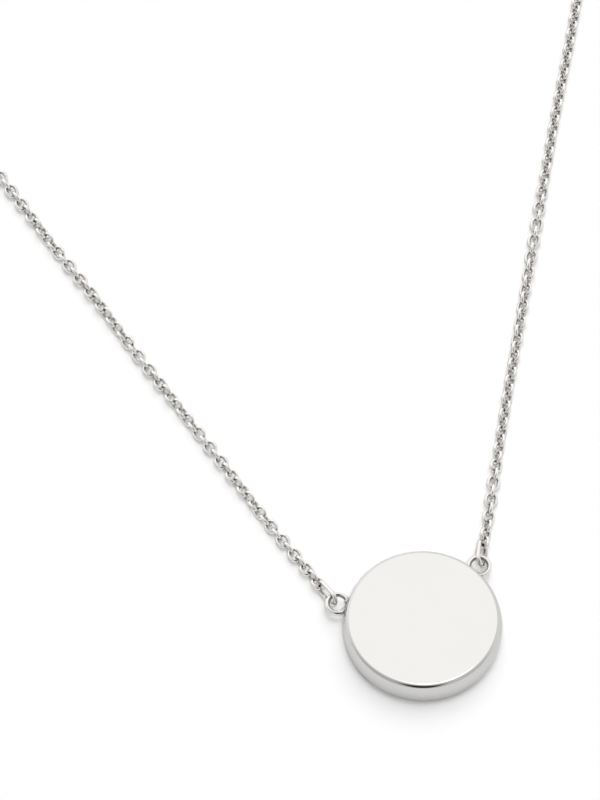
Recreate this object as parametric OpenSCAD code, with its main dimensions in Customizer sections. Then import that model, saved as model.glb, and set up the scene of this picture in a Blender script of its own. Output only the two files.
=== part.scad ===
// Plate necklace that lies flat: a thick round polished plate with a wire loop soldered to its rim at
// each upper side, an oval end link in each loop, and a fine cable chain whose two sides run up to a
// round clasp behind the neck. The origin is the centre of the plate's flat back, which is on the
// floor. +X is right, +Y is towards the clasp and +Z is up. Lengths are millimetres.

/* [Plate] */
// Largest diameter, at half the thickness
plate_d = 16; // [15.8:0.1:16.2]
// Thickness between the two flat faces
plate_t = 3.25; // [3.15:0.05:3.4]
// How far the rim stands out past each flat face
rim_out = 0.59; // [0.56:0.01:0.62]
// Radius where a face rolls over into the rounded rim
edge_r = 0.36; // [0.33:0.01:0.39]

/* [Plate loops] */
// Wire of the two soldered loops
loop_wire = 0.48; // [0.46:0.01:0.49]
// Outer diameter of a loop
loop_d = 2.58; // [2.56:0.01:2.62]
// How deep a loop's outer edge is sunk into the rim
loop_sink = 0.4; // [0.38:0.01:0.42]
// Angle from +Y to each loop
loop_angle = 57; // [56.5:0.5:57.5]

/* [End links] */
// Wire of the two oval end links
end_wire = 0.42; // [0.39:0.01:0.43]
// Outer width of an end link
end_w = 1.72; // [1.7:0.01:1.75]

/* [Chain] */
// Wire of a chain link
link_wire = 0.35; // [0.32:0.01:0.36]
// Outer length of a chain link
link_l = 1.72; // [1.7:0.01:1.74]
// Outer width of a chain link, and of the chain
link_w = 1.4; // [1.38:0.01:1.42]

/* [Clasp] */
// Outer diameter of the clasp's round body
clasp_d = 5.5; // [5.4:0.1:5.6]
// Thickness of its tube
clasp_tube = 1; // [0.9:0.05:1]
// Wire of its small soldered loop
clasp_loop_wire = 0.35; // [0.32:0.01:0.36]
// Wire of the catch ring
catch_wire = 0.35; // [0.32:0.01:0.36]
// Outer diameter of the catch ring
catch_d = 3.35; // [3.3:0.05:3.4]

/* [Hidden] */

round_fn = 96;
wire_fn = 48;
edge_steps = 8;

// distance of each loop's centre from the plate's axis, and the loop's wire centre circle
loop_axis_r = (loop_d - loop_wire) / 2;
loop_reach = plate_d / 2 + loop_d / 2 - loop_sink;
right_loop = [loop_reach * sin(loop_angle), loop_reach * cos(loop_angle), plate_t / 2];
left_loop = [-right_loop[0], right_loop[1], right_loop[2]];

// the two ends of each end link's wire centre line, and how far the link is rolled over
right_near = right_loop + [0.2, 0.11, 0.31];
right_far = [8.78, 7.68, 0.77];
right_roll = 57;
left_near = left_loop + [-0.22, 0.13, 0.25];
left_far = [-8.48, 7.88, 0.76];
left_roll = -70;

// half the thickness of the chain, and so its height on the floor
chain_r = link_w / 2;
chain_sides = 8;
// wire centre line of a chain link, from end to end
link_axis_l = link_l - link_wire;
// how far past the link's near end its tube begins
tube_start = 0.95;

// far bend of the chain, behind the neck: centre, radius and where the sides meet it
bend = [8.6, 128.9];
bend_r = 53.6;
clasp_a = 85.8;
left_a = 198;
right_a = -26;
bend_steps = 20;
// angle that the clasp and the links beside it take up on each side
clasp_gap_a = 6;

// the link in each end link: outer end of its wire centre line, its direction and its roll
left_first = [-8.34, 7.38, 0.83];
left_first_dir = [-0.307, 0.952, -0.05];
left_first_roll = 19;
right_first = [8.58, 7.1, 0.8];
right_first_dir = [0.426, 0.905, -0.07];
right_first_roll = -37;

// the sides of the chain as they lie, from the end links up to the far bend
left_side = [[-9, 9.4], [-11, 15.1], [-13.5, 22.8], [-16, 30.6], [-18.6, 38.5], [-21.1, 46.6],
             [-23.8, 54.7], [-26.4, 63], [-31.1, 77.5], [-35.8, 92], [-39.3, 103]];
right_side = [[9.76, 9.4], [12, 14.2], [15.8, 22.2], [19.8, 30.3], [23.8, 38.5], [27.9, 46.9],
              [32.1, 55.4], [36.5, 64], [43.4, 78], [49.2, 90], [53.3, 98.4]];

// the clasp's own frame: origin under the middle of its round body, +X along the chain
clasp_at = [bend[0] + bend_r * cos(clasp_a), bend[1] + bend_r * sin(clasp_a)];
clasp_turn = clasp_a - 90;
clasp_axis_r = (clasp_d - clasp_tube) / 2;
// height of the tube's centre where it rests on the catch ring; the other side is on the floor
clasp_lift = 1.05;
clasp_tilt = asin((clasp_lift - clasp_tube / 2) / (2 * clasp_axis_r));
clasp_mid_z = (clasp_lift + clasp_tube / 2) / 2;
// the small loop, sunk into the outside of the tube
clasp_loop_axis_r = 0.8;
clasp_loop_at = [-clasp_axis_r - 0.3 - clasp_loop_axis_r, 0, 0.4];
// the catch ring leans through the round body
catch_axis_r = (catch_d - catch_wire) / 2;
catch_roll = 36;
catch_at = [2.1, 0, 1.08];
// the links in the clasp's loop and in the catch ring
left_last = [-3.73, 0, 0.72];
left_last_dir = [-1, 0, 0];
left_last_roll = 90;
right_last = [3.05, 0, 1.18];
right_last_dir = [1, 0, -0.1];
right_last_roll = -55;

function unit(v) = v / norm(v);
function bend_point(a) = [bend[0] + bend_r * cos(a), bend[1] + bend_r * sin(a), chain_r];
function in_clasp(p) = [clasp_at[0] + p[0] * cos(clasp_turn) - p[1] * sin(clasp_turn),
                        clasp_at[1] + p[0] * sin(clasp_turn) + p[1] * cos(clasp_turn), p[2]];

// a wire ring that lies flat around the origin
module wire_ring(axis_r, wire) {
    rotate_extrude($fn = round_fn)
        translate([axis_r, 0])
            circle(d = wire, $fn = wire_fn);
}

// the +X half of a flat oval link: half a ring and half of each bar
module half_link(axis_r, bar, wire) {
    translate([bar / 2, 0, 0])
        rotate([0, 0, -90])
            rotate_extrude(angle = 180, $fn = round_fn)
                translate([axis_r, 0])
                    circle(d = wire, $fn = wire_fn);
    for (side = [-1, 1])
        translate([0, side * axis_r, 0])
            rotate([0, 90, 0])
                cylinder(d = wire, h = bar / 2, $fn = wire_fn);
}

// an oval link from the near to the far end of its wire centre line; a positive roll lifts its left bar
module oval_link(near, far, roll, outer_w, wire) {
    d = far - near;
    l = norm(d);
    axis_r = (outer_w - wire) / 2;
    translate((near + far) / 2)
        rotate([roll, -asin(d[2] / l), atan2(d[1], d[0])]) {
            half_link(axis_r, l - 2 * axis_r, wire);
            rotate([0, 0, 180])
                half_link(axis_r, l - 2 * axis_r, wire);
        }
}

function heading(p, i) =
    i == 0 ? unit(p[1] - p[0])
    : i == len(p) - 1 ? unit(p[i] - p[i - 1])
    : unit(unit(p[i + 1] - p[i]) + unit(p[i] - p[i - 1]));
function ring_point(p, i, a, r) =
    let (t = heading(p, i))
    let (side = unit([t[1], -t[0], 0]))
    let (up = cross(side, t))
    p[i] + r * cos(a) * side + r * sin(a) * up;

// a tube with flat sides along a route, one flat down
module tube(route, r, sides) {
    n = len(route);
    corner_r = r / cos(180 / sides);
    points = [for (i = [0 : n - 1], k = [0 : sides - 1])
        ring_point(route, i, (k + 0.5) * 360 / sides, corner_r)];
    walls = [for (i = [0 : n - 2], k = [0 : sides - 1])
        let (j = (k + 1) % sides)
        [i * sides + k, i * sides + j, (i + 1) * sides + j, (i + 1) * sides + k]];
    near_cap = [for (k = [sides - 1 : -1 : 0]) k];
    far_cap = [for (k = [0 : sides - 1]) (n - 1) * sides + k];
    polyhedron(points = points, faces = concat([near_cap], walls, [far_cap]));
}

// half of the plate's section: flat faces, rolled edges and a rounded rim
module plate_section() {
    face_r = plate_d / 2 - rim_out;
    half = plate_t / 2 - edge_r;
    side_r = (rim_out * rim_out + half * half - edge_r * edge_r) / (2 * (rim_out - edge_r));
    side_a = asin(half / (side_r - edge_r));
    // the rolled edge, one step past where it meets the rim's curve
    low = [for (i = [0 : edge_steps + 1])
        let (a = -90 + i * (90 - side_a) / edge_steps)
        [face_r + edge_r * cos(a), edge_r + edge_r * sin(a)]];
    high = [for (i = [edge_steps + 1 : -1 : 0]) [low[i][0], plate_t - low[i][1]]];
    intersection() {
        polygon(concat([[0, 0]], low, [[plate_d, low[edge_steps + 1][1]], [plate_d, high[0][1]]],
                       high, [[0, plate_t]]));
        translate([plate_d / 2 - side_r, plate_t / 2])
            circle(r = side_r, $fn = round_fn);
    }
}

module plate() {
    color([0.86, 0.86, 0.85]) {
        rotate_extrude($fn = round_fn)
            plate_section();
        for (at = [left_loop, right_loop])
            translate(at)
                wire_ring(loop_axis_r, loop_wire);
    }
}

module left_end_link() {
    color([0.8, 0.8, 0.82])
        oval_link(left_near, left_far, left_roll, end_w, end_wire);
}

module right_end_link() {
    color([0.8, 0.8, 0.82])
        oval_link(right_near, right_far, right_roll, end_w, end_wire);
}

// one side of the chain: a link through the end link, the tube, and a link at the clasp
module chain_side(first, first_dir, first_roll, side_points, bend_from, bend_to,
                  last, last_dir, last_roll) {
    to_first = unit(first_dir);
    to_last = unit(last_dir);
    bend_step = (bend_to - bend_from) / bend_steps;
    route = concat([first + to_first * tube_start],
        [for (p = side_points) [p[0], p[1], chain_r]],
        [for (i = [0 : bend_steps - 1]) bend_point(bend_from + i * bend_step)],
        [in_clasp(last + to_last * tube_start)]);
    oval_link(first, first + to_first * link_axis_l, first_roll, link_w, link_wire);
    tube(route, chain_r, chain_sides);
    oval_link(in_clasp(last), in_clasp(last + to_last * link_axis_l), last_roll, link_w, link_wire);
}

module left_chain() {
    color([0.72, 0.74, 0.78])
        chain_side(left_first, left_first_dir, left_first_roll, left_side,
                   left_a, clasp_a + clasp_gap_a, left_last, left_last_dir, left_last_roll);
}

module right_chain() {
    color([0.72, 0.74, 0.78])
        chain_side(right_first, right_first_dir, right_first_roll, right_side,
                   right_a, clasp_a - clasp_gap_a, right_last, right_last_dir, right_last_roll);
}

module clasp() {
    color([0.84, 0.84, 0.86])
        translate(in_clasp([0, 0, clasp_mid_z]))
            rotate([0, -clasp_tilt, clasp_turn]) {
                wire_ring(clasp_axis_r, clasp_tube);
                translate(clasp_loop_at)
                    wire_ring(clasp_loop_axis_r, clasp_loop_wire);
            }
}

module catch_ring() {
    color([0.8, 0.8, 0.82])
        translate(in_clasp(catch_at))
            rotate([catch_roll, 0, clasp_turn])
                wire_ring(catch_axis_r, catch_wire);
}

plate();
left_end_link();
right_end_link();
left_chain();
right_chain();
clasp();
catch_ring();
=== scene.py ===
"""A round plate necklace laid flat on a pale table.

The plate with its soldered loops, the two oval end links, both sides of the cable chain, the clasp
and its catch ring are modelled in metres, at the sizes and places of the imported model.
"""

from __future__ import annotations

import logging
import math
from collections.abc import Callable, Iterator, Sequence
from contextlib import contextmanager
from dataclasses import dataclass, field
from enum import Enum

import bpy
from mathutils import Euler, Matrix, Vector


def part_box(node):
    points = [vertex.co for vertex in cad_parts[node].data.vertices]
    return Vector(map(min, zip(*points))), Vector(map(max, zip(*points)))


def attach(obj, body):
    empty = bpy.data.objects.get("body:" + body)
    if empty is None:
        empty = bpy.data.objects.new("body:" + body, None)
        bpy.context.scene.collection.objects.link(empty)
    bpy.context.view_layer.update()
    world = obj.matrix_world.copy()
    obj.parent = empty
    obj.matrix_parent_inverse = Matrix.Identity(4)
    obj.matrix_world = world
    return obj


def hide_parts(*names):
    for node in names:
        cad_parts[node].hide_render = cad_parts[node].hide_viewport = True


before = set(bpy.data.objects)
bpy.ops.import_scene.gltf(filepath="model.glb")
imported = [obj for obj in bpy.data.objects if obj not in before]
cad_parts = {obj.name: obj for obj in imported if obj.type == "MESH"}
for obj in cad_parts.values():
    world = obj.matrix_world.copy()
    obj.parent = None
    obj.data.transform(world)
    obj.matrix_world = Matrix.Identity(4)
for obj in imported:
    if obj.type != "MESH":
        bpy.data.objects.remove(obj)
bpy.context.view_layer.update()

LOG = logging.getLogger("necklace")
MM = 0.001
BODY = "root"

# the attribute that says how far a wire faces its link's hollow, where painted shade darkens its
# colour and its roughness is raised
HOLLOW = "hollow"
HOLLOW_START = 0.05
HOLLOW_BAR_SHARE = 0.6
HOLLOW_END_REACH = 1.5

# points closer than this are one point
SAME_POINT = 0.0002 * MM

# a colour mix's sockets: its two colours, and the one that it puts out
MIX_LOW, MIX_HIGH, MIX_OUT = 6, 7, 2

Point = tuple[float, float, float]
PlanPoint = tuple[float, float]
Colour = tuple[float, float, float]
Term = bpy.types.NodeSocket | float | Sequence[float]


class Slot(Enum):
    """The record's material slots, which are named beside each piece."""

    PLATE = "polished_plate"
    WIRE = "link_wire"
    CHAIN = "chain_wire"
    CLASP = "clasp_metal"


class Pick(Enum):
    """What edit mode selects."""

    VERTEX = "VERT"
    EDGE = "EDGE"
    FACE = "FACE"


def deselect() -> None:
    """Deselect every object."""
    bpy.ops.object.select_all(action="DESELECT")


def make_active(piece: bpy.types.Object) -> None:
    """Select one object alone and make it the active one.

    Args:
        piece: The object to work on next.
    """
    deselect()
    piece.select_set(True)
    bpy.context.view_layer.objects.active = piece


@contextmanager
def editing(piece: bpy.types.Object, pick: Pick = Pick.VERTEX,
            everything: bool = True) -> Iterator[None]:
    """Work on a piece in edit mode.

    Args:
        piece: The piece to edit.
        pick: Whether vertices, edges or faces are selected.
        everything: Whether all of the mesh is selected at first, or only what was picked before.
    """
    make_active(piece)
    bpy.ops.object.mode_set(mode="EDIT")
    bpy.ops.mesh.select_mode(type=pick.value)
    if everything:
        bpy.ops.mesh.select_all(action="SELECT")
    try:
        yield
    finally:
        bpy.ops.object.mode_set(mode="OBJECT")


def pick_vertices(piece: bpy.types.Object, wanted: Callable[[Vector], bool]) -> None:
    """Select a mesh's vertices by their place, for the next time in edit mode.

    Args:
        piece: The piece whose vertices are chosen, in object mode.
        wanted: Says of a vertex's place whether it is selected.
    """
    mesh = piece.data
    for face in mesh.polygons:
        face.select = False
    for edge in mesh.edges:
        edge.select = False
    for vertex in mesh.vertices:
        vertex.select = wanted(vertex.co)


def settle(piece: bpy.types.Object) -> None:
    """Move a piece's place, turn and scale into its mesh.

    Args:
        piece: The piece to settle at the origin.
    """
    make_active(piece)
    bpy.ops.object.transform_apply(location=True, rotation=True, scale=True)


def copy_at(piece: bpy.types.Object, name: str, place: Matrix) -> bpy.types.Object:
    """Copy a piece with a mesh of its own and put the copy in its place.

    Args:
        piece: The piece that is copied.
        name: The copy's name.
        place: Where the copy goes.

    Returns:
        The copy, unsettled.
    """
    twin = piece.copy()
    twin.data = piece.data.copy()
    twin.name = name
    bpy.context.scene.collection.objects.link(twin)
    twin.matrix_world = place
    return twin


def join(pieces: Sequence[bpy.types.Object], name: str) -> bpy.types.Object:
    """Join pieces into one object whose place is in its mesh.

    Args:
        pieces: The pieces, of which the first one stays.
        name: The joined piece's name.

    Returns:
        The joined piece.
    """
    make_active(pieces[0])
    for piece in pieces[1:]:
        piece.select_set(True)
    bpy.ops.object.join()
    joined = bpy.context.active_object
    joined.name = name
    joined.data.name = name
    settle(joined)
    return joined


def remove(piece: bpy.types.Object) -> None:
    """Delete a piece that was only a pattern for others.

    Args:
        piece: The piece to delete.
    """
    bpy.data.objects.remove(piece, do_unlink=True)


def smooth(piece: bpy.types.Object, crease_deg: float = 40.0) -> None:
    """Shade a piece smooth, but for its sharp edges.

    Args:
        piece: The piece to shade.
        crease_deg: The angle between faces past which an edge stays sharp.
    """
    make_active(piece)
    bpy.ops.object.shade_smooth_by_angle(angle=math.radians(crease_deg))


def mark_hollow(piece: bpy.types.Object, half_bar: float, axis_half: float, wire: float) -> None:
    """Note on each vertex of a link at the origin how far it faces the link's hollow, where shade is
    painted.

    Args:
        piece: The link, long along X and flat.
        half_bar: Half the length of its straight bars.
        axis_half: Half the width of the wire's centre line.
        wire: The wire's diameter.
    """
    hollow = piece.data.attributes.new(HOLLOW, "FLOAT", "POINT")
    for vertex, value in zip(piece.data.vertices, hollow.data):
        beyond = max(0.0, abs(vertex.co.x) - half_bar)
        out = (math.hypot(beyond, vertex.co.y) - axis_half) / (wire / 2)
        near_end = min(1.0, beyond / axis_half * HOLLOW_END_REACH)
        share = HOLLOW_BAR_SHARE + (1 - HOLLOW_BAR_SHARE) * near_end
        value.value = max(0.0, min(1.0, HOLLOW_START - out)) * share


def swell_joint(piece: bpy.types.Object, axis_r: float, wire: float) -> None:
    """Swell a flat ring's wire a little where its ends are soldered together, on its -X side.

    Args:
        piece: The ring, at the origin.
        axis_r: Radius of the wire's centre line.
        wire: The wire's diameter.
    """
    swell = 1.03
    # each pass takes in less of the wire, so the swelling is rounded
    for reach in (0.9, 0.6, 0.3):
        pick_vertices(piece, lambda at: at.x < 0 and abs(at.y) < wire * reach)
        with editing(piece, everything=False):
            bpy.ops.transform.resize(value=(swell, 1.0, swell), center_override=(-axis_r, 0, 0))


def ring(name: str, axis_r: float, wire: float, steps: int, wire_steps: int,
         place: Matrix) -> bpy.types.Object:
    """Make a round wire ring.

    Args:
        name: The ring's name.
        axis_r: Radius of the wire's centre line.
        wire: The wire's diameter.
        steps: Segments round the ring.
        wire_steps: Sides of the wire.
        place: Where the ring goes; it lies flat before that.

    Returns:
        The ring, with its place in its mesh.
    """
    deselect()
    bpy.ops.mesh.primitive_torus_add(major_segments=steps, minor_segments=wire_steps,
                                     major_radius=axis_r, minor_radius=wire / 2)
    piece = bpy.context.active_object
    piece.name = name
    swell_joint(piece, axis_r, wire)
    mark_hollow(piece, 0.0, axis_r, wire)
    piece.matrix_world = place
    settle(piece)
    smooth(piece)
    return piece


def solder_drop(radius: float, drawn: Point, place: Matrix) -> bpy.types.Object:
    """Make the rounded drop of solder that joins a wire to a body.

    Args:
        radius: The drop's radius.
        drawn: How far it is drawn out each way, as shares of its radius.
        place: Where the drop goes.

    Returns:
        The drop, with its place in its mesh.
    """
    deselect()
    bpy.ops.mesh.primitive_uv_sphere_add(segments=24, ring_count=16, radius=radius, scale=drawn)
    drop = bpy.context.active_object
    settle(drop)
    drop.matrix_world = place
    settle(drop)
    smooth(drop)
    return drop


def oval_link(name: str, axis_l: float, axis_w: float, wire: float, steps: int,
              wire_steps: int) -> bpy.types.Object:
    """Make an oval link at the origin, long along X and flat: two round ends and two straight bars.

    Args:
        name: The link's name.
        axis_l: Length of the wire's centre line, from end to end.
        axis_w: Width of the wire's centre line, from bar to bar.
        wire: The wire's diameter.
        steps: Segments of a full turn at the round ends, a multiple of four.
        wire_steps: Sides of the wire.

    Returns:
        The link, centred on the origin.
    """
    half_bar = (axis_l - axis_w) / 2
    near_enough = wire * 0.01
    deselect()
    bpy.ops.mesh.primitive_torus_add(major_segments=steps, minor_segments=wire_steps,
                                     major_radius=axis_w / 2, minor_radius=wire / 2)
    link = bpy.context.active_object
    link.name = name
    with editing(link):
        bpy.ops.mesh.bisect(plane_co=(0, 0, 0), plane_no=(1, 0, 0), clear_inner=True)
        bpy.ops.mesh.select_all(action="SELECT")
        bpy.ops.transform.translate(value=(half_bar, 0, 0))
    pick_vertices(link, lambda at: at.x < half_bar + near_enough)
    with editing(link, Pick.EDGE, everything=False):
        bpy.ops.mesh.extrude_edges_move(TRANSFORM_OT_translate={"value": (-half_bar, 0, 0)})
    other_half = link.modifiers.new("other half", "MIRROR")
    other_half.use_axis = (True, False, False)
    other_half.use_mirror_merge = True
    other_half.merge_threshold = near_enough
    bpy.ops.object.modifier_apply(modifier=other_half.name)
    with editing(link, Pick.FACE):
        # the bars need no edge halfway
        bpy.ops.mesh.dissolve_limited(angle_limit=math.radians(1))
        bpy.ops.mesh.select_all(action="SELECT")
        bpy.ops.mesh.normals_make_consistent(inside=False)
    smooth(link, crease_deg=80)
    mark_hollow(link, half_bar, axis_w / 2, wire)
    return link


def link_place(near: Vector, along: Vector, axis_l: float, roll_deg: float) -> Matrix:
    """Work out where an oval link goes.

    Args:
        near: The near end of the wire's centre line.
        along: The way the link points.
        axis_l: Length of the wire's centre line.
        roll_deg: How far it is rolled; a positive roll lifts the left bar.

    Returns:
        The link's place.
    """
    way = along.normalized()
    turn = Euler((math.radians(roll_deg), -math.asin(way.z), math.atan2(way.y, way.x)))
    middle = near + way * axis_l / 2
    return Matrix.Translation(middle) @ turn.to_matrix().to_4x4()


def direction_to(azimuth: float, elevation: float) -> Vector:
    """Point from the table to something above it.

    Args:
        azimuth: Degrees clockwise from +Y.
        elevation: Degrees above the table.

    Returns:
        The direction, of length 1.
    """
    a, e = math.radians(azimuth), math.radians(elevation)
    return Vector((math.sin(a) * math.cos(e), math.cos(a) * math.cos(e), math.sin(e)))


def feed(tree: bpy.types.NodeTree, term: Term, socket: bpy.types.NodeSocket) -> None:
    """Wire an input to another node, or set it to a constant.

    Args:
        tree: The nodes' tree.
        term: The socket, number, vector or colour that feeds the input.
        socket: The input.
    """
    if isinstance(term, bpy.types.NodeSocket):
        tree.links.new(term, socket)
    else:
        socket.default_value = (*term, 1.0) if socket.type == "RGBA" else term


def reckon(tree: bpy.types.NodeTree, operation: str, *terms: Term,
           vectors: bool = False) -> bpy.types.NodeSocket:
    """Add a node that works out a value or a vector.

    Args:
        tree: The nodes' tree.
        operation: What it works out.
        terms: What it works with.
        vectors: Whether it works with vectors.

    Returns:
        The socket with the outcome.
    """
    node = tree.nodes.new("ShaderNodeVectorMath" if vectors else "ShaderNodeMath")
    node.operation = operation
    for term, socket in zip(terms, node.inputs):
        feed(tree, term, socket)
    return node.outputs["Vector" if vectors and operation != "DOT_PRODUCT" else "Value"]


def mix_colours(tree: bpy.types.NodeTree, factor: Term, low: Term,
                high: Term) -> bpy.types.NodeSocket:
    """Add a colour mix.

    Args:
        tree: The nodes' tree.
        factor: Which of the colours counts.
        low: The colour where the factor is 0.
        high: The colour where the factor is 1 or more.

    Returns:
        The socket with the mixed colour.
    """
    mix = tree.nodes.new("ShaderNodeMix")
    mix.data_type = "RGBA"
    mix.clamp_factor = True
    feed(tree, factor, mix.inputs["Factor"])
    feed(tree, low, mix.inputs[MIX_LOW])
    feed(tree, high, mix.inputs[MIX_HIGH])
    return mix.outputs[MIX_OUT]


class PolishMarksAndShade:
    """What polishing leaves: hairlines, haze and a little tone; with painted shade and haze in the
    hollows, as one node group.
    """

    NAME = "polish marks and shade"
    HAZE_DETAIL = 3.0
    HAIRLINE_DETAIL = 2.0
    HAIRLINE_STRETCH = (1.0, 0.06, 1.0)
    INPUTS = (("Haze Scale", 400.0), ("Hairline Scale", 2500.0), ("Gloss", 0.03), ("Haze", 0.03),
              ("Hollow", 0.0), ("Hollow Haze", 0.1))

    @classmethod
    def group(cls) -> bpy.types.NodeTree:
        """Build the node group once.

        Returns:
            The group, which puts out a colour, a roughness and a height.
        """
        known = bpy.data.node_groups.get(cls.NAME)
        if known:
            return known
        tree = bpy.data.node_groups.new(cls.NAME, "ShaderNodeTree")
        face = tree.interface
        face.new_socket("Vector", in_out="INPUT", socket_type="NodeSocketVector")
        for name, value in cls.INPUTS:
            socket = face.new_socket(name, in_out="INPUT", socket_type="NodeSocketFloat")
            socket.default_value = value
        for name in ("Bright", "Dull", "Hollow Shade"):
            face.new_socket(name, in_out="INPUT", socket_type="NodeSocketColor")
        face.new_socket("Color", in_out="OUTPUT", socket_type="NodeSocketColor")
        face.new_socket("Roughness", in_out="OUTPUT", socket_type="NodeSocketFloat")
        face.new_socket("Height", in_out="OUTPUT", socket_type="NodeSocketFloat")
        add, wire = tree.nodes.new, tree.links.new
        inside = add("NodeGroupInput").outputs
        outside = add("NodeGroupOutput").inputs
        haze = add("ShaderNodeTexNoise")
        haze.inputs["Detail"].default_value = cls.HAZE_DETAIL
        wire(inside["Vector"], haze.inputs["Vector"])
        wire(inside["Haze Scale"], haze.inputs["Scale"])
        hairlines = add("ShaderNodeTexNoise")
        hairlines.inputs["Detail"].default_value = cls.HAIRLINE_DETAIL
        stretched = reckon(tree, "MULTIPLY", inside["Vector"], cls.HAIRLINE_STRETCH, vectors=True)
        wire(stretched, hairlines.inputs["Vector"])
        wire(inside["Hairline Scale"], hairlines.inputs["Scale"])
        wire(hairlines.outputs["Fac"], outside["Height"])
        hazed = reckon(tree, "MULTIPLY_ADD", haze.outputs["Fac"], inside["Haze"], inside["Gloss"])
        roughness_in_hollows = reckon(tree, "MULTIPLY_ADD", inside["Hollow"], inside["Hollow Haze"], hazed)
        wire(roughness_in_hollows, outside["Roughness"])
        tone = mix_colours(tree, haze.outputs["Fac"], inside["Bright"], inside["Dull"])
        # painted shade: the colour darkens towards the shade colour in the hollows
        wire(mix_colours(tree, inside["Hollow"], tone, inside["Hollow Shade"]), outside["Color"])
        return tree


@dataclass(frozen=True)
class Silver:
    """A polished silver finish, with painted shade in its hollows."""

    name: str
    bright: Colour
    dull: Colour
    hollow_shade: Colour
    edge: float
    gloss: float
    haze: float
    haze_scale: float
    hairline_scale: float
    hairline_depth: float

    def material(self) -> bpy.types.Material:
        """Build the finish's material, or find it where it is already built.

        Returns:
            The material.
        """
        known = bpy.data.materials.get(self.name)
        if known:
            return known
        made = bpy.data.materials.new(self.name)
        made.use_nodes = True
        add, wire = made.node_tree.nodes.new, made.node_tree.links.new
        shader = made.node_tree.nodes["Principled BSDF"]
        shader.inputs["Metallic"].default_value = 1.0
        shader.inputs["Specular Tint"].default_value = (self.edge, self.edge, self.edge, 1.0)
        marks = add("ShaderNodeGroup")
        marks.node_tree = PolishMarksAndShade.group()
        marks.inputs["Haze Scale"].default_value = self.haze_scale
        marks.inputs["Hairline Scale"].default_value = self.hairline_scale
        marks.inputs["Gloss"].default_value = self.gloss
        marks.inputs["Haze"].default_value = self.haze
        marks.inputs["Bright"].default_value = (*self.bright, 1.0)
        marks.inputs["Dull"].default_value = (*self.dull, 1.0)
        marks.inputs["Hollow Shade"].default_value = (*self.hollow_shade, 1.0)
        # the hollow attribute sets where shade is painted into the colour
        hollow = add("ShaderNodeAttribute")
        hollow.attribute_name = HOLLOW
        wire(hollow.outputs["Fac"], marks.inputs["Hollow"])
        place = add("ShaderNodeTexCoord")
        wire(place.outputs["Object"], marks.inputs["Vector"])
        wire(marks.outputs["Color"], shader.inputs["Base Color"])
        wire(marks.outputs["Roughness"], shader.inputs["Roughness"])
        bump = add("ShaderNodeBump")
        bump.inputs["Strength"].default_value = 1.0
        bump.inputs["Distance"].default_value = self.hairline_depth
        wire(marks.outputs["Height"], bump.inputs["Height"])
        wire(bump.outputs["Normal"], shader.inputs["Normal"])
        return made


# painted shade, darker in the hollows of links and rings and along the solder's seams
HOLLOW_SHADE_COLOUR = (0.35, 0.335, 0.315)
MIRROR_SILVER = Silver(name="mirror silver", bright=(0.615, 0.609, 0.6),
                       dull=(0.603, 0.597, 0.586), hollow_shade=HOLLOW_SHADE_COLOUR, edge=0.85, gloss=0.02,
                       haze=0.02, haze_scale=260.0, hairline_scale=900.0, hairline_depth=0.000001 * MM)
WIRE_SILVER = Silver(name="wire silver", bright=(0.84, 0.82, 0.8), dull=(0.74, 0.72, 0.7),
                     hollow_shade=HOLLOW_SHADE_COLOUR, edge=0.6, gloss=0.05, haze=0.06, haze_scale=700.0,
                     hairline_scale=4000.0, hairline_depth=0.0002 * MM)
CHAIN_SILVER = Silver(name="chain silver", bright=(0.9, 0.88, 0.86), dull=(0.79, 0.77, 0.745),
                      hollow_shade=HOLLOW_SHADE_COLOUR, edge=0.65, gloss=0.06, haze=0.08, haze_scale=900.0,
                      hairline_scale=5000.0, hairline_depth=0.0002 * MM)
CLASP_SILVER = Silver(name="clasp silver", bright=(0.85, 0.835, 0.815), dull=(0.76, 0.74, 0.72),
                      hollow_shade=HOLLOW_SHADE_COLOUR, edge=0.7, gloss=0.05, haze=0.05, haze_scale=500.0,
                      hairline_scale=2500.0, hairline_depth=0.0002 * MM)


def polish(piece: bpy.types.Object, finish: Silver) -> None:
    """Give a piece its finish.

    Args:
        piece: The piece to polish.
        finish: The silver it is made of.
    """
    piece.data.materials.clear()
    piece.data.materials.append(finish.material())


def fit(piece: bpy.types.Object, slot: Slot, *nodes: str) -> None:
    """Let a polished piece ride on the body and stand for its solids.

    Args:
        piece: The finished piece.
        slot: The record's slot for it; not used.
        nodes: The CAD nodes that it replaces.
    """
    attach(piece, BODY)
    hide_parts(*nodes)
    LOG.info("%s: %d faces", piece.name, len(piece.data.polygons))


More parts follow.
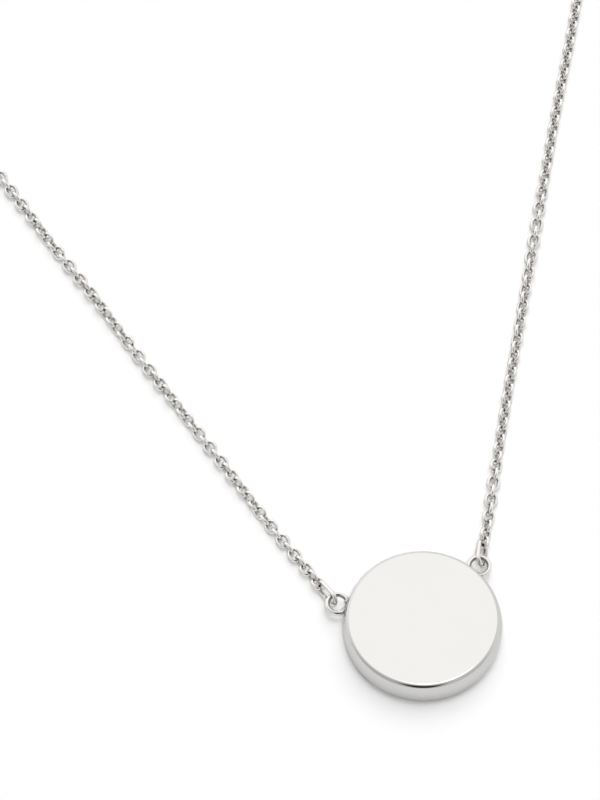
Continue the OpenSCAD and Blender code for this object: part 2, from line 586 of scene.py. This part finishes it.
@dataclass
class Plate:
    """The thick polished plate and the two wire loops soldered to its rim."""

    rim_r: float
    thick: float
    rim_out: float = 0.59 * MM
    edge_r: float = 0.36 * MM
    soft_w: float = 0.2 * MM
    soft_a: float = 3.2
    soft_steps: int = 4
    edge_steps: int = 16
    rim_steps: int = 16
    facets: int = 256
    loop_axis_r: float = 1.05 * MM
    loop_wire: float = 0.48 * MM
    loop_sink: float = 0.4 * MM
    loop_angle: float = 57.0
    loop_steps: int = 72
    loop_wire_steps: int = 20
    solder_r: float = 0.29 * MM
    solder_drawn: Point = (1.25, 1.25, 0.95)
    # the width and strength of the painted shade along the solder's seam
    seam_w: float = 0.2 * MM
    seam_shade: float = 1.3

    @classmethod
    def from_frame(cls) -> Plate:
        """Take the rim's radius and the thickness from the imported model."""
        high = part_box("plate")[1]
        return cls(rim_r=high[1], thick=high[2])

    def loop_centre(self, side: int) -> Vector:
        """Work out a loop's centre.

        Args:
            side: -1 for the left loop and 1 for the right one.

        Returns:
            The centre, halfway up the rim.
        """
        reach = self.rim_r + self.loop_axis_r + self.loop_wire / 2 - self.loop_sink
        angle = math.radians(self.loop_angle)
        return Vector((side * reach * math.sin(angle), reach * math.cos(angle), self.thick / 2))

    def section(self) -> list[Vector]:
        """Work out half of the plate's section.

        Returns:
            Points from the middle of the back, round the rim, to the middle of the face.
        """
        face_r = self.rim_r - self.rim_out
        half = self.thick / 2 - self.edge_r
        side_r = (self.rim_out ** 2 + half ** 2 - self.edge_r ** 2) \
            / (2 * (self.rim_out - self.edge_r))
        side_a = math.asin(half / (side_r - self.edge_r))
        side_x = self.rim_r - side_r
        # polishing has softened the face a little before it rolls over
        soft = math.tan(math.radians(self.soft_a))
        drop = self.soft_w * soft / 2
        start = face_r + self.edge_r * math.sin(math.radians(self.soft_a)) - self.soft_w
        lower = [Vector((0, 0, 0))]
        for step in range(self.soft_steps):
            part = step / self.soft_steps
            lower.append(Vector((start + self.soft_w * part, 0, drop * part ** 2)))
        roll = math.pi / 2 - side_a - math.radians(self.soft_a)
        for step in range(self.edge_steps + 1):
            part = step / self.edge_steps
            a = math.radians(self.soft_a - 90) + roll * part
            lower.append(Vector((face_r + self.edge_r * math.cos(a), 0,
                                 self.edge_r + self.edge_r * math.sin(a) + drop * (1 - part))))
        rim = []
        for step in range(1, self.rim_steps):
            a = side_a * (2 * step / self.rim_steps - 1)
            rim.append(Vector((side_x + side_r * math.cos(a), 0,
                               self.thick / 2 + side_r * math.sin(a))))
        upper = [Vector((at.x, 0, self.thick - at.z)) for at in reversed(lower)]
        return lower + rim + upper

    def build_disc(self) -> bpy.types.Object:
        """Draw the section and spin it round the plate's axis.

        Returns:
            The disc.
        """
        section = self.section()
        deselect()
        bpy.ops.mesh.primitive_plane_add(size=MM, location=section[0])
        disc = bpy.context.active_object
        settle(disc)
        with editing(disc):
            bpy.ops.mesh.merge(type="CENTER")
            for here, there in zip(section, section[1:]):
                bpy.ops.mesh.extrude_vertices_move(
                    TRANSFORM_OT_translate={"value": there - here})
            bpy.ops.mesh.select_all(action="SELECT")
            bpy.ops.mesh.spin(steps=self.facets, angle=2 * math.pi, center=(0, 0, 0),
                              axis=(0, 0, 1))
            bpy.ops.mesh.select_all(action="SELECT")
            bpy.ops.mesh.remove_doubles(threshold=SAME_POINT)
            bpy.ops.mesh.normals_make_consistent(inside=False)
        smooth(disc)
        return disc

    def build_loop(self, side: int) -> bpy.types.Object:
        """Make a soldered loop, with a drop of solder where each end of its wire meets the rim.

        Args:
            side: -1 for the left loop and 1 for the right one.

        Returns:
            The loop and its solder, joined.
        """
        centre = self.loop_centre(side)
        inward = math.atan2(-centre.y, -centre.x)
        place = Matrix.Translation(centre) @ Matrix.Rotation(inward - math.pi, 4, "Z")
        parts = [ring("loop", self.loop_axis_r, self.loop_wire, self.loop_steps,
                      self.loop_wire_steps, place)]
        reach = Vector((centre.x, centre.y)).length
        # the angle at the loop's centre to where the wire enters the rim
        enter = math.acos((reach ** 2 + self.loop_axis_r ** 2 - self.rim_r ** 2)
                          / (2 * reach * self.loop_axis_r))
        for turn in (-enter, enter):
            at = centre + Vector((math.cos(inward + turn), math.sin(inward + turn), 0)) \
                * self.loop_axis_r
            parts.append(solder_drop(self.solder_r, self.solder_drawn, Matrix.Translation(at)))
        loop = join(parts, "loop")
        # painted shade: the solder's seam along the rim is darkened, where the gap between wire and
        # rim is in shade
        for vertex, value in zip(loop.data.vertices, loop.data.attributes[HOLLOW].data):
            gap = math.hypot(vertex.co.x, vertex.co.y) - self.rim_r
            value.value = max(value.value, min(1.0, self.seam_shade - gap / self.seam_w))
        return loop

    def build(self) -> bpy.types.Object:
        """Build the plate as one soldered piece.

        Returns:
            The dressed plate.
        """
        disc, loops = self.build_disc(), [self.build_loop(-1), self.build_loop(1)]
        polish(disc, MIRROR_SILVER)
        for loop in loops:
            polish(loop, WIRE_SILVER)
        plate = join([disc, *loops], "polished_plate")
        fit(plate, Slot.PLATE, "plate")
        return plate


@dataclass
class EndLink:
    """An oval wire link between a plate loop and the chain."""

    node: str
    near: Vector
    far: Vector
    roll: float
    wire: float = 0.42 * MM
    axis_w: float = 1.3 * MM
    steps: int = 32
    wire_steps: int = 16

    def build(self) -> bpy.types.Object:
        """Build the link in its place.

        Returns:
            The dressed link.
        """
        along = self.far - self.near
        link = oval_link("oval_" + self.node, along.length, self.axis_w, self.wire, self.steps,
                         self.wire_steps)
        link.matrix_world = link_place(self.near, along, along.length, self.roll)
        settle(link)
        polish(link, WIRE_SILVER)
        fit(link, Slot.WIRE, self.node)
        return link


@dataclass
class Clasp:
    """The round clasp behind the neck, its small soldered loop and the catch ring."""

    at: Vector
    turn: float
    axis_r: float = 2.25 * MM
    tube: float = 1.0 * MM
    steps: int = 96
    tube_steps: int = 32
    lift: float = 1.05 * MM
    loop_axis_r: float = 0.8 * MM
    loop_wire: float = 0.35 * MM
    loop_steps: int = 64
    wire_steps: int = 16
    loop_at: Point = (-3.35 * MM, 0.0, 0.4 * MM)
    solder_r: float = 0.26 * MM
    solder_drawn: Point = (1.0, 1.5, 0.8)
    solder_at: Point = (-2.6 * MM, 0.0, 0.3 * MM)
    catch_axis_r: float = 1.5 * MM
    catch_steps: int = 72
    catch_wire: float = 0.35 * MM
    catch_at: Point = (2.1 * MM, 0.0, 1.08 * MM)
    catch_roll: float = 36.0

    def place(self, at: Point, turns: Point = (0.0, 0.0, 0.0)) -> Matrix:
        """Turn a place in the clasp's own frame into one in the row's frame.

        Args:
            at: The place, with X along the chain and Z up.
            turns: Turns about X, Y and Z in degrees, before the clasp's own turn.

        Returns:
            The place in the row's frame.
        """
        own = Euler([math.radians(turn) for turn in turns]).to_matrix().to_4x4()
        here = Matrix.Translation(self.at) @ Matrix.Rotation(math.radians(self.turn), 4, "Z")
        return here @ Matrix.Translation(Vector(at)) @ own

    def build(self) -> list[bpy.types.Object]:
        """Build the clasp and its catch ring.

        Returns:
            Both dressed pieces.
        """
        tilt = math.degrees(math.asin((self.lift - self.tube / 2) / (2 * self.axis_r)))
        middle = (0.0, 0.0, (self.lift + self.tube / 2) / 2)
        place = self.place(middle, (0.0, -tilt, 0.0))
        # the body's joint lies at its side, clear of the table, and the loop's joint at the body
        body = ring("body", self.axis_r, self.tube, self.steps, self.tube_steps,
                    place @ Matrix.Rotation(math.pi / 2, 4, "Z"))
        loop = ring("small loop", self.loop_axis_r, self.loop_wire, self.loop_steps, self.wire_steps,
                    place @ Matrix.Translation(Vector(self.loop_at))
                    @ Matrix.Rotation(math.pi, 4, "Z"))
        solder = solder_drop(self.solder_r, self.solder_drawn,
                             place @ Matrix.Translation(Vector(self.solder_at)))
        clasp = join([body, loop, solder], "round_clasp")
        polish(clasp, CLASP_SILVER)
        fit(clasp, Slot.CLASP, "clasp")
        catch = ring("jump_ring", self.catch_axis_r, self.catch_wire, self.catch_steps,
                     self.wire_steps, self.place(self.catch_at, (self.catch_roll, 0.0, 0.0)))
        polish(catch, WIRE_SILVER)
        fit(catch, Slot.WIRE, "catch_ring")
        return [clasp, catch]


@dataclass(frozen=True)
class Hook:
    """A link at an end of the chain: its outer end, the way it points and its roll."""

    near: Vector
    along: Vector
    roll: float


@dataclass
class LinkSize:
    """A chain link's size, how far apart the links lie, and how soon a raised chain sinks."""

    wire: float = 0.35 * MM
    axis_l: float = 1.37 * MM
    axis_w: float = 1.05 * MM
    pitch: float = 1.01 * MM
    steps: int = 12
    wire_steps: int = 6
    clear: float = 0.01 * MM
    sag: float = 0.06 * MM

    def rest_height(self, roll_deg: float) -> float:
        """Work out how high a link lies, where the taut chain keeps all its links on one line.

        Args:
            roll_deg: The link's roll; its neighbours are a quarter turn from it.

        Returns:
            The height of the link's centre, which the steeper of two neighbours sets.
        """
        own = abs(math.sin(math.radians(roll_deg)))
        beside = abs(math.cos(math.radians(roll_deg)))
        return self.clear + self.wire / 2 + self.axis_w / 2 * max(own, beside)


@dataclass
class ChainSide:
    """One side of the cable chain, as links that pass through each other."""

    node: str
    first: Hook
    last: Hook
    way: Sequence[PlanPoint]
    bend: Sequence[Vector]
    twist: Sequence[tuple[float, float]]
    size: LinkSize = field(default_factory=LinkSize)
    curve_step: float = 0.5 * MM
    easing_links: int = 20

    def middle(self, hook: Hook, ahead: float = 0.0) -> Vector:
        """Find the middle of the link at an end.

        Args:
            hook: The link at that end.
            ahead: How far past the middle, along the link.

        Returns:
            The point.
        """
        return hook.near + hook.along.normalized() * (self.size.axis_l / 2 + ahead)

    def lift(self, hook: Hook, number: int) -> float:
        """Say how high a hook holds the chain near it.

        Args:
            hook: The link at that end.
            number: How many links away from it.

        Returns:
            The height that the link's centre is held at, before the table takes over.
        """
        straight = self.middle(hook, self.size.pitch * min(number, 1)).z
        return straight - self.size.sag * max(0, number - 1)

    def route(self) -> list[Vector]:
        """Lay out the route of the links' centres.

        Returns:
            Points from the middle of the first link to the middle of the last.
        """
        between = [Vector((x * MM, y * MM, 0)) for x, y in self.way] + list(self.bend)
        return [self.middle(self.first), *between, self.middle(self.last)]

    def along_route(self) -> tuple[list[Vector], list[float]]:
        """Round the route off and measure it.

        Returns:
            Close points along the route in the plane, and each one's distance from the start.
        """
        route = [Vector((at.x, at.y, 0)) for at in self.route()]
        gaps = [(there - here).length for here, there in zip(route, route[1:])]
        ways = [Vector((self.first.along.x, self.first.along.y, 0)).normalized()]
        for before, after, behind, ahead in zip(route, route[2:], gaps, gaps[1:]):
            ways.append((after - before) / (behind + ahead))
        ways.append(-Vector((self.last.along.x, self.last.along.y, 0)).normalized())
        points = [route[0]]
        for here, there, gap, leave, arrive in zip(route, route[1:], gaps, ways, ways[1:]):
            steps = max(2, math.ceil(gap / self.curve_step))
            for step in range(1, steps + 1):
                t = step / steps
                points.append(here.lerp(there, 3 * t ** 2 - 2 * t ** 3)
                              + gap * (leave * (t - 2 * t ** 2 + t ** 3)
                                       + arrive * (t ** 3 - t ** 2)))
        run = [0.0]
        for here, there in zip(points, points[1:]):
            run.append(run[-1] + (there - here).length)
        return points, run

    def roll_at(self, distance: float) -> float:
        """Read the chain's slow twist.

        Args:
            distance: Distance from the first link, in metres.

        Returns:
            The roll of the links that lie as the first one does, in degrees.
        """
        marks = self.twist
        here = distance / MM
        for (s0, r0), (s1, r1) in zip(marks, marks[1:]):
            if here <= s1:
                return r0 + (r1 - r0) * (here - s0) / (s1 - s0)
        return marks[-1][1]

    def middles(self) -> tuple[list[Vector], list[float]]:
        """Space the links evenly along the route and roll them by the chain's twist.

        Returns:
            The middle of each link in the plane, and each one's roll in degrees.
        """
        points, run = self.along_route()
        count = round(run[-1] / self.size.pitch)
        pitch = run[-1] / count
        middles, rolls = [], []
        index = 0
        for number in range(count + 1):
            distance = min(number * pitch, run[-1])
            while index < len(run) - 2 and run[index + 1] < distance:
                index += 1
            part = (distance - run[index]) / (run[index + 1] - run[index])
            middles.append(points[index].lerp(points[index + 1], part))
            rolls.append(self.roll_at(distance) + 90 * (number % 2))
        # the last links turn by as much as the clasp's own link asks for, which is met from behind
        short = (-self.last.roll - rolls[-1] + 90) % 180 - 90
        for number in range(self.easing_links):
            rolls[count - number] += short * (1 - number / self.easing_links)
        return middles, rolls

    def places(self) -> list[Matrix]:
        """Work out where each link goes.

        Returns:
            A place for each link, from the end link to the clasp.
        """
        size = self.size
        middles, rolls = self.middles()
        count = len(middles) - 1
        for number, (middle, roll) in enumerate(zip(middles, rolls)):
            lifted = max(self.lift(self.first, number), self.lift(self.last, count - number))
            middle.z = max(size.rest_height(roll), lifted)
        places = [self.hooked(self.first)]
        for before, middle, after, roll in zip(middles, middles[1:], middles[2:], rolls[1:]):
            along = after - before
            near = middle - along.normalized() * size.axis_l / 2
            places.append(link_place(near, along, size.axis_l, roll))
        places.append(self.hooked(self.last))
        return places

    def hooked(self, hook: Hook) -> Matrix:
        """Give the place of the link at an end."""
        return link_place(hook.near, hook.along, self.size.axis_l, hook.roll)

    def build(self) -> bpy.types.Object:
        """Build this side's links from one pattern and join them.

        Returns:
            The dressed chain side.
        """
        size = self.size
        pattern = oval_link("chain link", size.axis_l, size.axis_w, size.wire, size.steps,
                            size.wire_steps)
        links = [copy_at(pattern, f"link {number}", place)
                 for number, place in enumerate(self.places())]
        remove(pattern)
        chain = join(links, "links_" + self.node)
        polish(chain, CHAIN_SILVER)
        fit(chain, Slot.CHAIN, self.node)
        return chain


@dataclass(frozen=True)
class LoopEnd:
    """What hangs in one of the plate's loops, with its places in millimetres."""

    link_near: Point
    link_far: Point
    link_roll: float
    chain_near: Point
    chain_along: Point
    chain_roll: float


@dataclass
class Necklace:
    """The whole necklace: what its pieces share, and the order in which they are made."""

    left: LoopEnd = LoopEnd(link_near=(-0.22, 0.13, 0.25), link_far=(-8.48, 7.88, 0.76),
                            link_roll=-70, chain_near=(-8.34, 7.38, 0.83),
                            chain_along=(-0.307, 0.952, -0.05), chain_roll=19)
    right: LoopEnd = LoopEnd(link_near=(0.2, 0.11, 0.31), link_far=(8.78, 7.68, 0.77),
                             link_roll=57, chain_near=(8.58, 7.1, 0.8),
                             chain_along=(0.426, 0.905, -0.07), chain_roll=-37)
    bend_centre: Point = (8.6 * MM, 128.9 * MM, 0.0)
    bend_r: float = 53.6 * MM
    bend_steps: int = 20
    left_a: float = 198.0
    right_a: float = -26.0
    clasp_a: float = 85.8
    clasp_gap_a: float = 6.0
    clasp_left_near: Point = (-3.73 * MM, 0.0, 0.72 * MM)
    clasp_left_roll: float = 90.0
    clasp_right_near: Point = (3.05 * MM, 0.0, 1.18 * MM)
    clasp_right_fall: float = -0.1
    clasp_right_roll: float = -55.0
    # the way of each side on the table, in millimetres
    left_way: Sequence[PlanPoint] = (
        (-9, 9.4), (-11, 15.1), (-13.5, 22.8), (-16, 30.6), (-18.6, 38.5), (-21.1, 46.6),
        (-23.8, 54.7), (-26.4, 63), (-31.1, 77.5), (-35.8, 92), (-39.3, 103))
    right_way: Sequence[PlanPoint] = (
        (9.76, 9.4), (12, 14.2), (15.8, 22.2), (19.8, 30.3), (23.8, 38.5), (27.9, 46.9),
        (32.1, 55.4), (36.5, 64), (43.4, 78), (49.2, 90), (53.3, 98.4))
    # how the chain is twisted: distance from the end link in millimetres, and the roll there
    left_twist: Sequence[tuple[float, float]] = (
        (0, 19), (3, 5), (6.5, -18), (13, -60), (19.5, -108), (26, -152), (32, -198), (39, -243),
        (46, -288), (50.5, -326), (55, -364), (70, -425), (120, -410), (160, -440), (215, -410))
    right_twist: Sequence[tuple[float, float]] = (
        (0, -37), (1, -43.5), (5.5, -84), (7, -82), (9, -65), (11, -47), (20, -43),
        (24, -28), (32, -22), (34, -12), (38, 5), (42, 22), (44.5, 40), (63, 45), (120, 30),
        (165, 80), (215, 40))

    def bend_point(self, angle_deg: float) -> Vector:
        """Find a point of the far bend.

        Args:
            angle_deg: Angle round the bend's centre, from +X.

        Returns:
            The point, on the table.
        """
        angle = math.radians(angle_deg)
        return Vector(self.bend_centre) + Vector((math.cos(angle), math.sin(angle), 0)) \
            * self.bend_r

    def bend_points(self, start: float, end: float) -> list[Vector]:
        """Lay out one side's share of the far bend.

        Args:
            start: Angle where the straight side meets the bend.
            end: Angle where the clasp begins.

        Returns:
            The points, from the straight side on.
        """
        return [self.bend_point(start + (end - start) * step / self.bend_steps)
                for step in range(self.bend_steps)]

    def hang(self, side: str, loop: Vector, end: LoopEnd) -> Hook:
        """Hang the end link in a loop of the plate.

        Args:
            side: Which side it is, left or right.
            loop: The loop's centre.
            end: What hangs in the loop.

        Returns:
            The chain's first link, which hangs in the end link.
        """
        EndLink(node=side + "_end_link", near=loop + Vector(end.link_near) * MM,
                far=Vector(end.link_far) * MM, roll=end.link_roll).build()
        return Hook(near=Vector(end.chain_near) * MM, along=Vector(end.chain_along),
                    roll=end.chain_roll)

    def build(self) -> None:
        """Build every piece, from the plate to the clasp."""
        plate = Plate.from_frame()
        plate.build()
        left_first = self.hang("left", plate.loop_centre(-1), self.left)
        right_first = self.hang("right", plate.loop_centre(1), self.right)
        clasp = Clasp(at=self.bend_point(self.clasp_a), turn=self.clasp_a - 90)
        clasp.build()
        heading = clasp.place((0.0, 0.0, 0.0)).to_3x3()
        left_last = Hook(near=clasp.place(self.clasp_left_near).translation,
                         along=heading @ Vector((-1, 0, 0)), roll=self.clasp_left_roll)
        right_last = Hook(near=clasp.place(self.clasp_right_near).translation,
                          along=heading @ Vector((1, 0, self.clasp_right_fall)),
                          roll=self.clasp_right_roll)
        ChainSide(node="left_chain", first=left_first, last=left_last, way=self.left_way,
                  bend=self.bend_points(self.left_a, self.clasp_a + self.clasp_gap_a),
                  twist=self.left_twist).build()
        ChainSide(node="right_chain", first=right_first, last=right_last, way=self.right_way,
                  bend=self.bend_points(self.right_a, self.clasp_a - self.clasp_gap_a),
                  twist=self.right_twist).build()


@dataclass(frozen=True)
class Patch:
    """An oval patch of the studio's surroundings; wide and high are degrees from its middle."""

    name: str
    azimuth: float
    elevation: float
    wide: float
    high: float
    soft: float
    colour: Colour

    def axes(self) -> tuple[Vector, Vector, Vector]:
        """Work out the patch's own directions.

        Returns:
            Sideways, upwards and from the table towards it.
        """
        toward = direction_to(self.azimuth, self.elevation)
        sideways = direction_to(self.azimuth + 90, 0)
        return sideways, sideways.cross(toward), toward


@dataclass(frozen=True)
class Lamp:
    """A distant soft lamp that lights the table and isn't mirrored in the silver."""

    name: str
    azimuth: float
    elevation: float
    spread: float
    share: float

    def build(self, table_white: float) -> bpy.types.Object:
        """Hang the lamp.

        Args:
            table_white: How much light the table gives back.

        Returns:
            The lamp, as bright as its share of the table's light asks for.
        """
        toward = direction_to(self.azimuth, self.elevation)
        light = bpy.data.lights.new(self.name, "SUN")
        light.angle = math.radians(self.spread)
        light.energy = self.share * math.pi / (table_white * toward.z)
        lamp = bpy.data.objects.new(self.name, light)
        bpy.context.scene.collection.objects.link(lamp)
        lamp.location = toward
        lamp.rotation_euler = toward.to_track_quat("Z", "Y").to_euler()
        lamp.visible_glossy = False
        return lamp


@dataclass
class Studio:
    """The pale table, its lamps, the soft surroundings that silver mirrors, and the camera."""

    floor_size: float = 3.0
    floor_white: Colour = (0.93, 0.93, 0.928)
    floor_rough: float = 0.9
    floor_shine: float = 0.1
    surround: Colour = (0.92, 0.915, 0.91)
    horizon: Colour = (0.8, 0.795, 0.79)
    horizon_high: float = 20.0
    patches: Sequence[Patch] = (
        Patch("far wall", 8, 40, 50, 55, 0.5, (1.41, 1.4, 1.385)),
        Patch("right wall", 85, 35, 45, 40, 0.5, (1.03, 1.03, 1.02)),
        Patch("near left", -120, 35, 40, 45, 0.5, (0.63, 0.63, 0.63)),
        Patch("near right", 145, 45, 28, 40, 0.5, (0.76, 0.75, 0.74)),
        Patch("overhead", 0, 90, 15, 15, 0.5, (0.71, 0.71, 0.71)),
        Patch("face card", 16.6, 60.4, 9, 8, 0.15, (1.475, 1.463, 1.455)),
        Patch("lamp", 22, 66.4, 1.7, 1.6, 0.4, (2.8, 2.8, 2.75)),
        Patch("dark camera", -163.4, 51, 16, 31, 0.4, (0.02, 0.018, 0.016)),
    )
    beyond_table: Colour = (0.06, 0.06, 0.06)
    lamps: Sequence[Lamp] = (
        Lamp("far soft box", 30.4, 65.2, 63.3, 0.43),
        Lamp("overhead lamp", 141.7, 86.2, 22.8, 0.21),
        Lamp("near lamp", 195.1, 63.1, 8.4, 0.36),
    )
    aim: Point = (-4.09 * MM, 29.39 * MM, 0.0)
    azimuth: float = 196.6
    elevation: float = 60.4
    distance: float = 566.2 * MM
    focal_px: float = 5500.0
    long_side_px: float = 800.0
    sensor: float = 36.0
    clip: tuple[float, float] = (10 * MM, 20.0)

    def build_floor(self) -> bpy.types.Object:
        """Make the pale table top.

        Returns:
            The floor, marked as stage.
        """
        deselect()
        bpy.ops.mesh.primitive_plane_add(size=self.floor_size, location=(0, 0, 0))
        floor = bpy.context.active_object
        floor.name = "floor"
        paper = bpy.data.materials.new("pale table")
        paper.use_nodes = True
        shader = paper.node_tree.nodes["Principled BSDF"]
        shader.inputs["Base Color"].default_value = (*self.floor_white, 1.0)
        shader.inputs["Roughness"].default_value = self.floor_rough
        shader.inputs["Specular IOR Level"].default_value = self.floor_shine
        floor.data.materials.append(paper)
        return floor

    def lay_patches(self, tree: bpy.types.NodeTree, direction: bpy.types.NodeSocket,
                    colour: bpy.types.NodeSocket) -> bpy.types.NodeSocket:
        """Lay the patches over the surroundings' colour.

        Args:
            tree: The surroundings' nodes.
            direction: The direction looked in.
            colour: The colour under the patches.

        Returns:
            The colour with the patches.
        """
        # past every patch's edge
        outside = 9.0
        for patch in self.patches:
            sideways, upwards, toward = patch.axes()
            squares = []
            for axis, half in ((sideways, patch.wide), (upwards, patch.high)):
                along = reckon(tree, "DOT_PRODUCT", direction,
                               axis / (2 * math.sin(math.radians(half) / 2)), vectors=True)
                squares.append(reckon(tree, "POWER", along, 2.0))
            facing = reckon(tree, "DOT_PRODUCT", direction, toward, vectors=True)
            behind = reckon(tree, "LESS_THAN", facing, 0.0)
            oval = reckon(tree, "ADD", *squares)
            mask = tree.nodes.new("ShaderNodeMapRange")
            mask.interpolation_type = "SMOOTHSTEP"
            mask.inputs["From Min"].default_value = (1 + patch.soft) ** 2
            mask.inputs["From Max"].default_value = (1 - patch.soft) ** 2
            feed(tree, reckon(tree, "MULTIPLY_ADD", behind, outside, oval), mask.inputs["Value"])
            colour = mix_colours(tree, mask.outputs["Result"], colour, patch.colour)
        return colour

    def build_world(self) -> None:
        """Make the soft surroundings that the silver mirrors."""
        world = bpy.data.worlds.new("studio")
        bpy.context.scene.world = world
        world.use_nodes = True
        world.cycles_visibility.diffuse = False
        tree = world.node_tree
        direction = tree.nodes.new("ShaderNodeTexCoord").outputs["Generated"]
        height = tree.nodes.new("ShaderNodeSeparateXYZ")
        feed(tree, direction, height.inputs["Vector"])
        rise = tree.nodes.new("ShaderNodeMapRange")
        rise.interpolation_type = "SMOOTHSTEP"
        rise.inputs["From Max"].default_value = math.sin(math.radians(self.horizon_high))
        feed(tree, height.outputs["Z"], rise.inputs["Value"])
        dome = mix_colours(tree, rise.outputs["Result"], self.horizon, self.surround)
        mirrored = self.lay_patches(tree, direction, dome)
        # light that comes to the table by way of the silver is dim
        path = tree.nodes.new("ShaderNodeLightPath")
        shown = mix_colours(tree, path.outputs["Diffuse Depth"], mirrored, self.beyond_table)
        feed(tree, shown, tree.nodes["Background"].inputs["Color"])

    def build_camera(self) -> bpy.types.Object:
        """Put the camera at the photograph's viewing angle.

        Returns:
            The scene's camera.
        """
        back = direction_to(self.azimuth, self.elevation)
        lens = bpy.data.cameras.new("photo camera")
        lens.sensor_width = self.sensor
        lens.lens = self.focal_px / self.long_side_px * self.sensor
        lens.clip_start, lens.clip_end = self.clip
        camera = bpy.data.objects.new("photo camera", lens)
        bpy.context.scene.collection.objects.link(camera)
        camera.location = Vector(self.aim) + back * self.distance
        camera.rotation_euler = back.to_track_quat("Z", "Y").to_euler()
        bpy.context.scene.camera = camera
        return camera

    def build(self) -> None:
        """Build the table, the surroundings and the camera."""
        self.build_floor()
        self.build_world()
        for lamp in self.lamps:
            lamp.build(self.floor_white[1])
        self.build_camera()
        bpy.context.scene.view_settings.view_transform = "Standard"
        bpy.context.scene.view_settings.look = "None"


def main() -> None:
    """Build the studio and the necklace, and report each piece."""
    logging.basicConfig(level=logging.INFO, format="%(message)s")
    Studio().build()
    Necklace().build()


if __name__ == "__main__":
    main()
